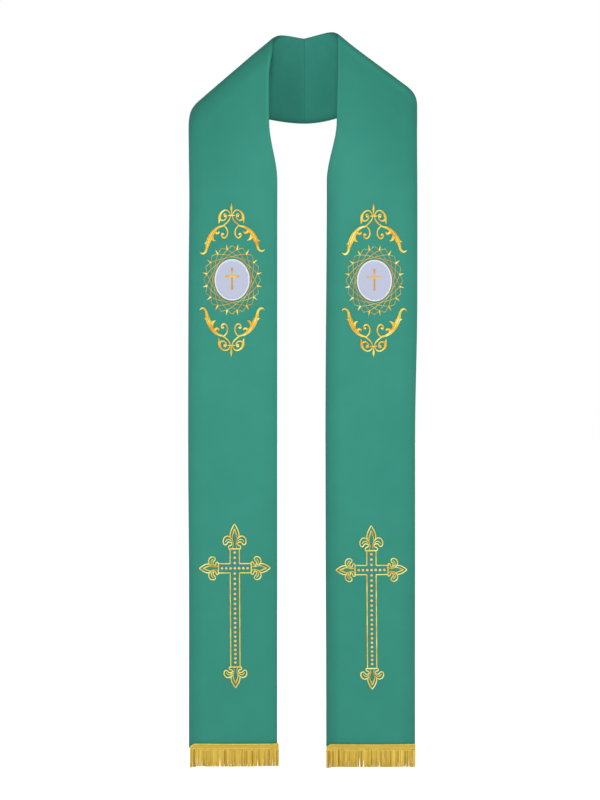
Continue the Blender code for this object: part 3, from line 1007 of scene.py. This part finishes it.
def vine_path(side, start):
    """One strand of the thorn ring, from one peak in past the disc and out to another."""
    path = []
    for k in range(VINE_POINTS + 1):
        t = k / VINE_POINTS
        reach = 1.0 - VINE_DIP * math.sin(math.pi * t)
        path.append(Stitch(*thorn_oval(side, reach, start + VINE_STRIDE * t), VINE_STITCH))
    return smooth_path(path, VINE_STEP)


def make_thorn_ring(side, finish):
    """Interlaced strands round the disc, with a thorn between each two of their peaks."""
    draw = random.Random(SEEDS["thorns"])
    build = new_build()
    for start in range(THORN_COUNT):
        settings = {"lift": VINE_LAYER * (start % 3), "tone": TONES["vine"], "step": VINE_STEP}
        lay_stitches(build, side, vine_path(side, start), VINE_RISE, draw, **settings)
    for k in range(THORN_COUNT):
        thorn = [Stitch(*thorn_oval(side, reach, k + 0.5), half) for reach, half in THORN_SHAPE]
        lay_stroke(build, side, thorn, THORN_RISE, draw, tone=TONES["thorn"])
    return finish_build("thorn_ring_" + side.name, build, finish)


def make_disc(side, finish):
    """The medallion's white disc: a low dome of long stitches inside a raised rim."""
    draw = random.Random(SEEDS["disc"])
    build = new_build()
    for ring in range(DISC_RINGS):
        reach = (ring + 1) / DISC_RINGS
        rise = DISC_RISE * (1.0 - DISC_FALL * reach**2) * (1.0 - reach**DISC_EDGE_POWER)
        for k in range(DISC_SPOKES):
            angle = 2.0 * math.pi * k / DISC_SPOKES
            half_width, half_height = DISC_HALF_WIDTH * reach, DISC_HALF_HEIGHT * reach
            place = front_place(side, *medallion_oval(side, half_width, half_height, angle))
            build.points.append(place.point + place.out * rise)
            build.map.append((half_width * math.cos(angle), half_height * math.sin(angle)))
            build.tones.append(0.0)
            if ring:
                low, after = (ring - 1) * DISC_SPOKES, (k + 1) % DISC_SPOKES
                high = low + DISC_SPOKES
                build.faces.append((low + k, high + k, high + after, low + after))
    build.faces.append(tuple(range(DISC_SPOKES)))
    around = 2.0 * math.pi * math.hypot(DISC_HALF_WIDTH, DISC_HALF_HEIGHT) / math.sqrt(2.0)
    steps = round(around / STITCH_STEP / 3.0) * 3
    half_width, half_height = DISC_HALF_WIDTH - DISC_RIM_HALF_WIDTH, DISC_HALF_HEIGHT - DISC_RIM_HALF_WIDTH
    rim = []
    for k in range(steps):
        place = medallion_oval(side, half_width, half_height, 2.0 * math.pi * k / steps)
        rim.append(Stitch(*place, DISC_RIM_HALF_WIDTH))
    dome_points = len(build.points)
    lay_stitches(build, side, rim, DISC_RIM_RISE, draw, closed=True)
    build.tones[dome_points:] = [1.0] * (len(build.points) - dome_points)
    name, replaced = "satin_disc_" + side.name, ["medallion_" + side.name]
    return finish_build(name, build, finish, replaced)


def make_small_cross(side, finish):
    draw = random.Random(SEEDS["small cross"])
    build = new_build()
    for line in SMALL_CROSS:
        path = moved(line, side.sign * side.medallion_x, side.medallion_z + SMALL_CROSS_Z)
        settings = {"lift": SMALL_CROSS_LIFT, "tone": TONES["small cross"]}
        lay_stroke(build, side, path, SMALL_CROSS_RISE, draw, **settings)
    return finish_build("disc_cross_" + side.name, build, finish)


def make_large_cross(side, finish):
    """The outline of a cross with a fleur-de-lis at the end of each arm."""
    draw = random.Random(SEEDS["large cross"])
    build = new_build()
    centre = (side.sign * side.cross_x, side.cross_z)
    for arm, degrees in (("up", 90.0), ("side", 0.0), ("down", 270.0), ("side", 180.0)):
        bar, fleur = CROSS_ARMS[arm]
        turned = {"turn": math.radians(degrees) + CROSS_LEAN, "weight": CORD_WEIGHT}
        ends = (-COLLAR_HALF_LENGTH, COLLAR_HALF_LENGTH)
        collar = [Stitch(bar + COLLAR_OUT, z, COLLAR_HALF_WIDTH) for z in ends]
        path = moved(collar, *centre, **turned)
        lay_stroke(build, side, path, CORD_RISE, draw, tone=TONES["collar"])
        for flip in (1.0, -1.0):
            turned["flip_z"] = flip
            line = [Stitch(x, BAR_HALF_WIDTH, CORD_HALF_WIDTH) for x in (BAR_HALF_WIDTH, bar)]
            path = moved(line, *centre, **turned)
            lay_stroke(build, side, path, CORD_RISE, draw, tone=TONES["bar"])
            for name, petal in FLEUR_STROKES.items():
                path = moved(petal, *centre, stretch=fleur / FLEUR_LENGTH, start=bar, **turned)
                tone = TONES.get(name, TONES["fleur"])
                lay_stroke(build, side, path, FLEUR_RISE, draw, tone=tone)
    name, replaced = "cross_outline_" + side.name, ["cross_" + side.name]
    return finish_build(name, build, finish, replaced)


def make_cross_dots(side, finish):
    draw = random.Random(SEEDS["dots"])
    build = new_build()
    spots = [Stitch(0.0, DOT_PITCH * k, DOT_RADIUS) for k in range(DOTS_ABOVE + 1)]
    spots += [Stitch(0.0, DOT_CLOSING * k**2 - DOT_PITCH * k, DOT_RADIUS) for k in range(1, DOTS_BELOW + 1)]
    for k in range(1, DOTS_BESIDE + 1):
        spots += [Stitch(DOT_PITCH_BESIDE * k * flip, 0.0, DOT_RADIUS) for flip in (1.0, -1.0)]
    for spot in moved(spots, side.sign * side.cross_x, side.cross_z, turn=CROSS_LEAN):
        lay_dot(build, side, spot.x, spot.z, spot.half_width, DOT_RISE, draw)
    return finish_build("cross_dots_" + side.name, build, finish)


def heading_ends(side):
    return sorted(side.sign * x for x in side.fringe)


def turned_end(side, x, reach):
    """1 at the viewer's left end of the heading, where the braid is turned under, and 0 beyond a reach."""
    return 1.0 - eased((x - heading_ends(side)[0]) / reach)


def ring_round(middle, radius, first, second, sides):
    angles = [2.0 * math.pi * corner / sides for corner in range(sides)]
    return [middle + radius * (math.cos(angle) * first + math.sin(angle) * second) for angle in angles]


def lay_cord(build, side, cord, draw):
    """Two plies that wind round or cross each other all along the heading, dipping at its turned end."""
    start, end = heading_ends(side)
    steps = round((end - start) / CORD_STEP)
    offset = draw.uniform(0.0, 10.0) if cord.patched else 0.0
    for ply in (0.0, math.pi):
        rings, tones = [], []
        for k in range(steps + 1):
            x = between(start, end, k / steps)
            turn = 2.0 * math.pi * x / cord.pitch + ply
            drop = cord.drop * turned_end(side, x, TURNED_END_REACH)
            z = side.fringe_top - cord.below - drop + cord.swing * math.sin(turn)
            place = front_place(side, x, z)
            middle = place.point + place.out * (CORD_LIFT + cord.sway * math.cos(turn))
            rings.append(ring_round(middle, cord.radius, place.out, place.up, CORD_SIDES))
            # Painted shade: each ply is lighter where it stands out and darker where it turns back in
            tone = cord.tone + cord.contrast * math.cos(turn)
            if cord.patched:
                tone += CORD_PATCH * noise.noise(Vector((x / CORD_PATCH_SIZE, offset, 0.0)))
            tones.append(tone)
        along = [CORD_STEP * k for k in range(steps + 1)]
        around = [CORD_MAP_STEP * corner for corner in range(CORD_SIDES)]
        add_rings(build, rings, along, around, tones)


def lay_backing(build, side):
    """The tape that the heading's cords are sewn to."""
    start, end = heading_ends(side)
    shares = [k / BACKING_STEPS for k in range(BACKING_STEPS + 1)]
    rings = []
    for x in (between(start, end, share) for share in shares):
        top = side.fringe_top - BACKING_BELOW - BACKING_DIP * turned_end(side, x, TURNED_END_REACH)
        low = side.fringe_top - FRINGE_HEADER
        inside, outside = BACKING_LIFTS
        corners = ((low, inside), (top, inside), (top, outside), (low, outside))
        places = [(front_place(side, x, z), lift) for z, lift in corners]
        rings.append([place.point + place.out * lift for place, lift in places])
    along = [(end - start) * share for share in shares]
    add_rings(build, rings, along, BACKING_MAP, [TONES["backing"]] * len(rings))


def lay_threads(build, side, draw):
    """Locks of cut thread that hang from under the heading, uneven and parted here and there."""
    start, end = heading_ends(side)
    root_z = side.fringe_top - FRINGE_HEADER + 0.0018
    partings = [between(start, end, share) for share in FRINGE_PARTINGS[side.name]]
    for lock in range(LOCKS):
        share = (lock + 0.5) / LOCKS
        lock_x = between(start, end, share)
        gather = draw.uniform(-0.08, 0.10)
        lean = draw.uniform(-0.0004, 0.0004)
        for parting in partings:
            apart = (lock_x - parting) / PARTING_WIDTH
            lean += PARTING_PUSH * apart * bell(apart)
        lock_tone = draw.uniform(-0.24, 0.24)
        lock_length = FRINGE_DROP * draw.uniform(0.975, 1.0) + 0.0022 * turned_end(side, lock_x, 0.014)
        for thread in range(THREADS_IN_LOCK):
            offset = ((thread + 0.5) / THREADS_IN_LOCK - 0.5) * (end - start) / LOCKS * 1.05
            lift = 0.0004 + 0.0024 * draw.random()
            bend = draw.uniform(-0.0005, 0.0005)
            phase = draw.uniform(0.0, 2.0 * math.pi)
            length = lock_length * draw.uniform(0.965, 1.0) + 0.0018
            tone = 0.5 + lock_tone + draw.uniform(-0.35, 0.35)
            rings, along, tones = [], [], []
            for k in range(THREAD_SEGMENTS + 1):
                t = k / THREAD_SEGMENTS
                swing = bend * math.sin(3.5 * t + phase) * t
                x = lock_x + offset * (1.0 - gather * eased(t)) + lean * t**1.4 + swing
                z = root_z - length * t
                place = front_place(side, x, z)
                middle = place.point + place.out * (lift + 0.5 * bend * math.sin(5.0 * t + phase))
                radius = THREAD_RADIUS * (1.0 - 0.15 * t**3)
                rings.append(ring_round(middle, radius, place.out, -place.right, THREAD_SIDES))
                along.append(length * t)
                tones.append(tone - THREAD_END_SHADE * t * t)
            around = [THREAD_MAP_STEP * corner for corner in range(THREAD_SIDES)]
            add_rings(build, rings, along, around, tones)


def make_fringe(side, finish):
    draw = random.Random(SEEDS["fringe"] + side.sign)
    build = new_build()
    lay_backing(build, side)
    lay_threads(build, side, draw)
    for cord in HEADING_CORDS:
        lay_cord(build, side, cord, draw)
    name, replaced = "fringe_threads_" + side.name, ["fringe_" + side.name]
    return finish_build(name, build, finish, replaced)


def sheet_area(points, faces):
    corners = points[faces]
    first = np.cross(corners[:, 1] - corners[:, 0], corners[:, 2] - corners[:, 0])
    second = np.cross(corners[:, 2] - corners[:, 0], corners[:, 3] - corners[:, 0])
    return float(np.linalg.norm(first, axis=1).sum() + np.linalg.norm(second, axis=1).sum()) / 4.0


HEM_LINE_ROWS = np.arange(HEM_LINES[0] - HEM_LINE_MARGIN, HEM_LINES[1] + HEM_LINE_MARGIN, HEM_LINE_STEP)
FACE = Sheet(
    wall=FACE_WALL,
    depth=0.0,
    inset=0.0,
    steps=FACE_STEPS,
    hem=np.append(HEM_DISTANCES, HEM_LINE_ROWS),
    first_row=0.0,
    rim=FACE_RIM,
    column=FACE_COLUMN,
    relief=face_relief,
    relief_inside=False,
    shades=face_shades,
)
LINING = Sheet(
    wall=LINING_WALL,
    depth=FACE_WALL + LINING_GAP,
    inset=LINING_INSET,
    steps=LINING_STEPS,
    hem=HEM_DISTANCES,
    first_row=LINING_HEM_RISE,
    rim=LINING_RIM,
    column=LINING_COLUMN,
    relief=lining_relief,
    relief_inside=True,
    shades=lining_shades,
)


def make_sheet(side, sheet, slot, node, finish):
    """A sheet's piece, its flat size and its area."""
    points, faces, flat_map, shades, flat = lay_sheet(side, sheet)
    piece = add_piece(slot + "_" + side.name, points, faces, flat_map, shades, finish)
    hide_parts(node + "_" + side.name)
    return piece, flat, sheet_area(points, faces)


def add_node(tree, kind, **settings):
    """A shader node; settings name its properties, or its inputs with spaces written as underscores."""
    made = tree.nodes.new("ShaderNode" + kind)
    for name, value in settings.items():
        if hasattr(made, name):
            setattr(made, name, value)
        else:
            made.inputs[name.replace("_", " ")].default_value = value
    return made


def new_material(name, roughness, specular):
    made = bpy.data.materials.new(name)
    made.use_nodes = True
    shader = made.node_tree.nodes["Principled BSDF"]
    shader.inputs["Roughness"].default_value = roughness
    shader.inputs["Specular IOR Level"].default_value = specular
    return made, made.node_tree, shader


def add_ramp(tree, factor, shades, low=0.0, high=1.0):
    """Shades spread evenly between two values of a factor."""
    ramp = add_node(tree, "ValToRGB")
    stops = ramp.color_ramp.elements
    for stop, position, shade in zip(stops, (low, high), (shades[0], shades[-1])):
        stop.position = position
        stop.color = (*shade, 1.0)
    for k, shade in enumerate(shades[1:-1], 1):
        stops.new(between(low, high, k / (len(shades) - 1))).color = (*shade, 1.0)
    tree.links.new(factor, ramp.inputs["Fac"])
    return ramp.outputs["Color"]


def add_wave(tree, place, direction, pitch, **settings):
    """Bands across the thread map, about a pitch apart."""
    scale = 1.0 / pitch / math.pi
    wave = add_node(tree, "TexWave", wave_type="BANDS", bands_direction=direction, Scale=scale, **settings)
    tree.links.new(place, wave.inputs["Vector"])
    return wave.outputs["Fac"]


def add_bump(tree, shader, height, strength, distance):
    bump = add_node(tree, "Bump", Strength=strength, Distance=distance)
    tree.links.new(height, bump.inputs["Height"])
    tree.links.new(bump.outputs["Normal"], shader.inputs["Normal"])


def cloth_material(name, dyes, thread, bump_height, roughness, dye_scale):
    """Plain woven cloth: crossed threads in low relief and soft uneven dye, darker where its tone is low,
    which is painted shade.
    """
    made, tree, shader = new_material(name, roughness, CLOTH_SHINE)
    shader.inputs["Specular Tint"].default_value = CLOTH_SHINE_TINT
    place = add_node(tree, "UVMap", uv_map="thread_map").outputs["UV"]
    weave = add_node(tree, "Math", operation="MULTIPLY")
    for entry, direction in zip(weave.inputs, "XY"):
        tree.links.new(add_wave(tree, place, direction, thread), entry)
    add_bump(tree, shader, weave.outputs["Value"], CLOTH_BUMP, bump_height)
    dye = add_node(tree, "TexNoise", Scale=dye_scale, Detail=4.0, Roughness=0.6)
    tree.links.new(place, dye.inputs["Vector"])
    painted_shade = add_node(tree, "Attribute", attribute_name="tone")
    shaded = add_node(tree, "VectorMath", operation="SCALE")
    tree.links.new(add_ramp(tree, dye.outputs["Fac"], dyes, *DYE_SPREAD), shaded.inputs["Vector"])
    tree.links.new(painted_shade.outputs["Fac"], shaded.inputs["Scale"])
    tree.links.new(shaded.outputs["Vector"], shader.inputs["Base Color"])
    return made


def thread_material(name, shades, roughness, pitch):
    """Lustrous thread: its colour follows the tone of each point, which holds the thread's own colour with
    painted sheen on satin stitch and painted shade on the cords' plies, and fine plies cross it.
    """
    made, tree, shader = new_material(name, roughness, THREAD_SHINE)
    tone = add_node(tree, "Attribute", attribute_name="tone")
    tree.links.new(add_ramp(tree, tone.outputs["Fac"], shades), shader.inputs["Base Color"])
    place = add_node(tree, "UVMap", uv_map="thread_map").outputs["UV"]
    plies = add_wave(tree, place, "X", pitch, Distortion=1.0, Detail_Scale=2.0)
    add_bump(tree, shader, plies, PLY_BUMP, PLY_HEIGHT)
    return made


def make_stage():
    """A wide pale floor that glows a little, so that it is even all round."""
    corners = ((-1.0, -1.0), (1.0, -1.0), (1.0, 1.0), (-1.0, 1.0))
    mesh = bpy.data.meshes.new("studio_floor")
    mesh.from_pydata([(x * FLOOR_HALF, y * FLOOR_HALF, FLOOR_Z) for x, y in corners], [], [(0, 1, 2, 3)])
    white, _, shader = new_material("studio_white", 0.9, 0.2)
    shader.inputs["Base Color"].default_value = FLOOR_WHITE
    shader.inputs["Emission Color"].default_value = WHITE
    shader.inputs["Emission Strength"].default_value = FLOOR_GLOW
    mesh.materials.append(white)
    floor = bpy.data.objects.new("studio_floor", mesh)
    bpy.context.scene.collection.objects.link(floor)


def add_light(name, place, size, power):
    data = bpy.data.lights.new(name, "AREA")
    data.shape = "SQUARE"
    data.size = size
    data.energy = power
    light = bpy.data.objects.new(name, data)
    light.location = place
    light.rotation_euler = (Vector(LIGHT_TARGET) - Vector(place)).to_track_quat("-Z", "Y").to_euler()
    bpy.context.scene.collection.objects.link(light)


def make_world():
    """Soft light that is white round the horizon and dim overhead."""
    world = bpy.data.worlds.new("studio")
    world.use_nodes = True
    tree = world.node_tree
    parts = add_node(tree, "SeparateXYZ")
    tree.links.new(add_node(tree, "TexCoord").outputs["Generated"], parts.inputs["Vector"])
    light = add_ramp(tree, parts.outputs["Z"], WORLD_SHADES, *WORLD_SPREAD)
    tree.links.new(light, tree.nodes["Background"].inputs["Color"])
    bpy.context.scene.world = world


def make_lights():
    make_world()
    add_light("key", (0.0, -4.3, 1.90), 0.8, 112.0)
    add_light("back", (0.0, 4.6, 1.10), 1.6, 45.0)


def make_camera():
    """A level camera with a long lens, 4 m in front of the fronts."""
    data = bpy.data.cameras.new("camera")
    data.sensor_width = SENSOR_WIDTH
    data.lens = LENS
    camera = bpy.data.objects.new("camera", data)
    camera.location = CAMERA_PLACE
    camera.rotation_euler = (math.radians(90.0), 0.0, 0.0)
    bpy.context.scene.collection.objects.link(camera)
    bpy.context.scene.camera = camera


def make_stole():
    cloth = cloth_material("face_cloth", FACE_DYES, 0.00042, 0.00005, roughness=0.55, dye_scale=14.0)
    lining = cloth_material("lining_cloth", LINING_DYES, 0.00030, 0.00003, roughness=0.60, dye_scale=40.0)
    gold = thread_material("gold_thread", GOLD, roughness=0.38, pitch=0.00030)
    fringe_gold = thread_material("fringe_thread", FRINGE_GOLD, roughness=0.45, pitch=0.00050)
    white = thread_material("white_thread", SILVER_WHITE, roughness=0.42, pitch=0.00030)
    coral = thread_material("coral_thread", CORAL, roughness=0.40, pitch=0.00030)
    for side in SIDES:
        face_piece, face_flat, face_area = make_sheet(side, FACE, "face_cloth", "panel", cloth)
        lining_piece, lining_flat, lining_area = make_sheet(side, LINING, "lining_cloth", "lining", lining)
        trims = [
            make_scrolls(side, gold),
            make_thorn_ring(side, gold),
            make_disc(side, white),
            make_small_cross(side, gold),
            make_large_cross(side, gold),
            make_cross_dots(side, coral),
            make_fringe(side, fringe_gold),
        ]


for old in list(bpy.data.objects):
    bpy.data.objects.remove(old, do_unlink=True)
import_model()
make_stage()
make_lights()
make_camera()
bpy.context.scene.view_settings.view_transform = "Standard"
make_stole()
